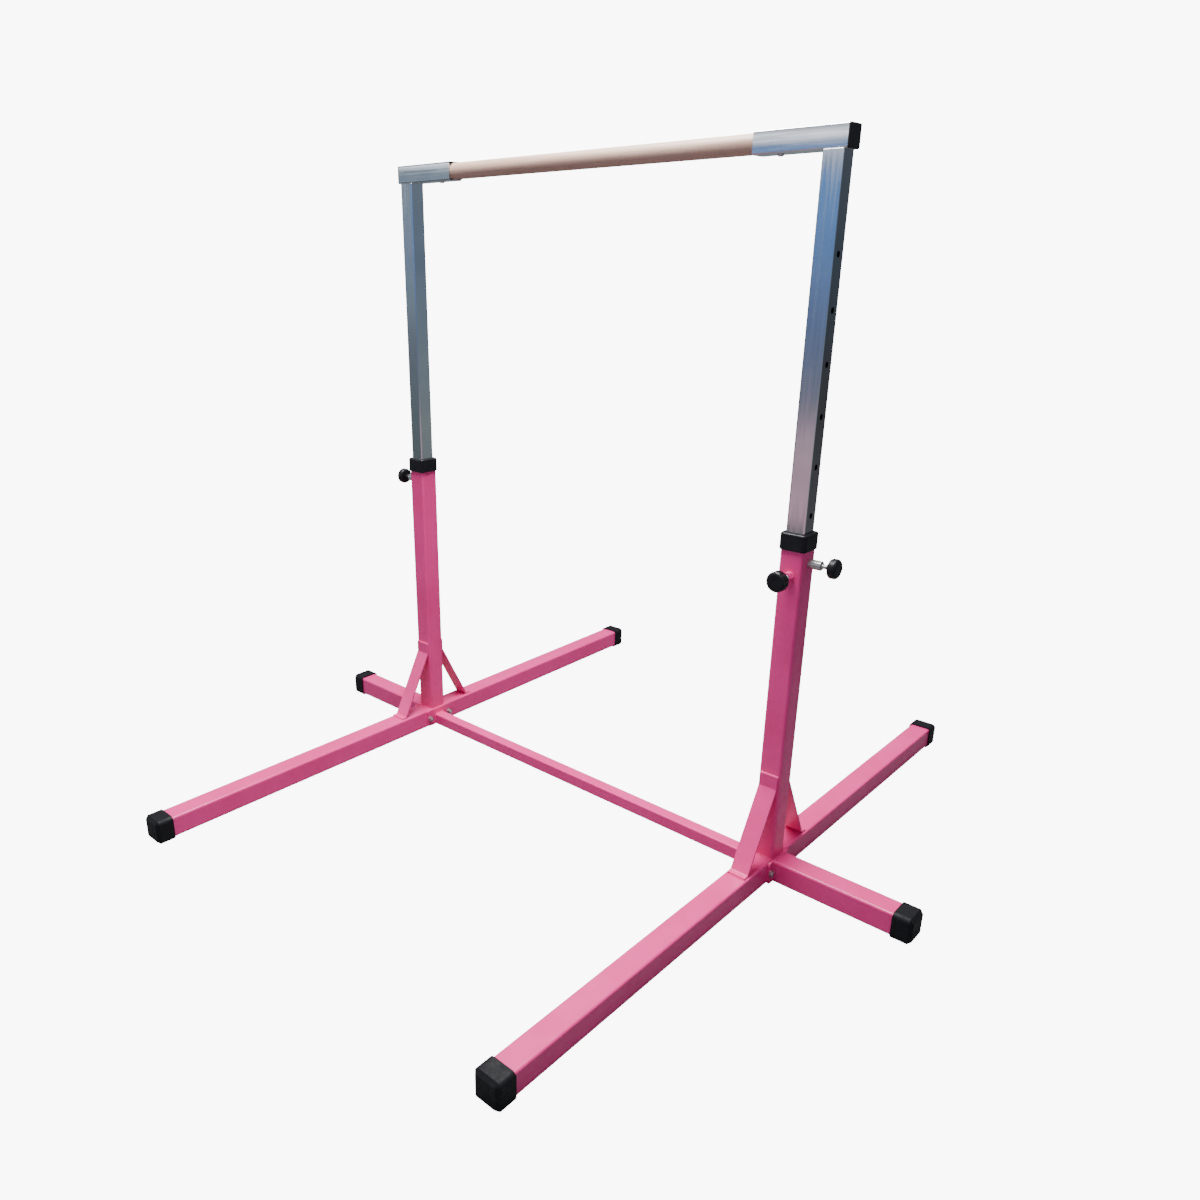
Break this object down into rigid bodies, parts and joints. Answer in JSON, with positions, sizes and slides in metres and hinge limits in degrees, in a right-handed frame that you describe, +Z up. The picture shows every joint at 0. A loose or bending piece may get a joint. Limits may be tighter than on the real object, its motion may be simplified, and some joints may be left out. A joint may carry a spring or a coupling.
{
  "type": "kip bar",
  "caption": "Height-adjustable gymnastics bar: a round wooden grip on chromed uprights that telescope in the posts of a braced steel floor base.",
  "frame": {"origin": "on the floor, midway between the two posts", "axes": "+X along the grip bar to the stand with the clamp knob, +Z up, the user stands on the -Y side"},
  "size_m": [1.72, 1.676, 1.432],
  "materials": {
    "pink_paint": "gloss powder coat",
    "chrome": "polished",
    "beech": "sanded, lightly lacquered",
    "black_rubber": "matt, moulded",
    "black_plastic": "fine moulded texture",
    "zinc_steel": "bright zinc plate",
    "spring_steel": "oiled",
    "brass": "turned"
  },
  "bodies": {
    "base": {"main_leg_right": "pink_paint", "side_leg_right": "pink_paint", "side_leg_plate_right": "pink_paint", "post_right": "pink_paint", "collar_right": "black_plastic", "ground_bar_plate_right": "pink_paint", "hub_bolts_right": "zinc_steel", "hub_nuts_right": "zinc_steel", "hub_washers_right": "zinc_steel", "brace_front_right": "pink_paint", "brace_back_right": "pink_paint", "leg_cap_front_right": "black_rubber", "leg_cap_back_right": "black_rubber", "leg_cap_side_right": "black_rubber", "pin_barrel_right": "zinc_steel", "pin_spring_right": "spring_steel", "main_leg_left": "pink_paint", "side_leg_left": "pink_paint", "side_leg_plate_left": "pink_paint", "post_left": "pink_paint", "collar_left": "black_plastic", "ground_bar_plate_left": "pink_paint", "hub_bolts_left": "zinc_steel", "hub_nuts_left": "zinc_steel", "hub_washers_left": "zinc_steel", "brace_front_left": "pink_paint", "brace_back_left": "pink_paint", "leg_cap_front_left": "black_rubber", "leg_cap_back_left": "black_rubber", "leg_cap_side_left": "black_rubber", "pin_barrel_left": "zinc_steel", "pin_spring_left": "spring_steel", "ground_bar": "pink_paint", "clamp_nut": "pink_paint"},
    "upper_frame": {"upright_right": "chrome", "arm_right": "chrome", "arm_plug_right": "black_plastic", "upright_left": "chrome", "arm_left": "chrome", "arm_plug_left": "black_plastic", "grip_bar": "beech", "grip_inserts": "brass", "grip_screws": "zinc_steel"},
    "lock_pin_right": {"pin_plunger_right": "zinc_steel", "pin_knob_right": "black_plastic"},
    "lock_pin_left": {"pin_plunger_left": "zinc_steel", "pin_knob_left": "black_plastic"},
    "clamp_stud": {"clamp_stud": "zinc_steel"},
    "clamp_knob": {"clamp_knob": "black_plastic"}
  },
  "joints": [
    {"name": "height_slide", "type": "slide", "parent": "base", "child": "upper_frame", "axis": [0, 0, 1], "range_m": [-0.54, 0]},
    {"name": "lock_pin_right_slide", "type": "slide", "parent": "base", "child": "lock_pin_right", "axis": [-1, 0, 0], "range_m": [0, 0.012], "deforming": ["pin_spring_right"]},
    {"name": "lock_pin_left_slide", "type": "slide", "parent": "base", "child": "lock_pin_left", "axis": [1, 0, 0], "range_m": [0, 0.012], "deforming": ["pin_spring_left"]},
    {"name": "clamp_travel", "type": "slide", "parent": "base", "child": "clamp_stud", "axis": [0, -1, 0], "range_m": [0, 0.0045]},
    {"name": "clamp_turn", "type": "hinge", "parent": "clamp_stud", "child": "clamp_knob", "pos_m": [0.534, -0.067, 0.67], "axis": [0, -1, 0], "range_deg": [0, 1085]}
  ],
  "couplings": [
    {"joint": "clamp_turn", "follows": "clamp_travel", "rad_per_m": 4188.8}
  ]
}
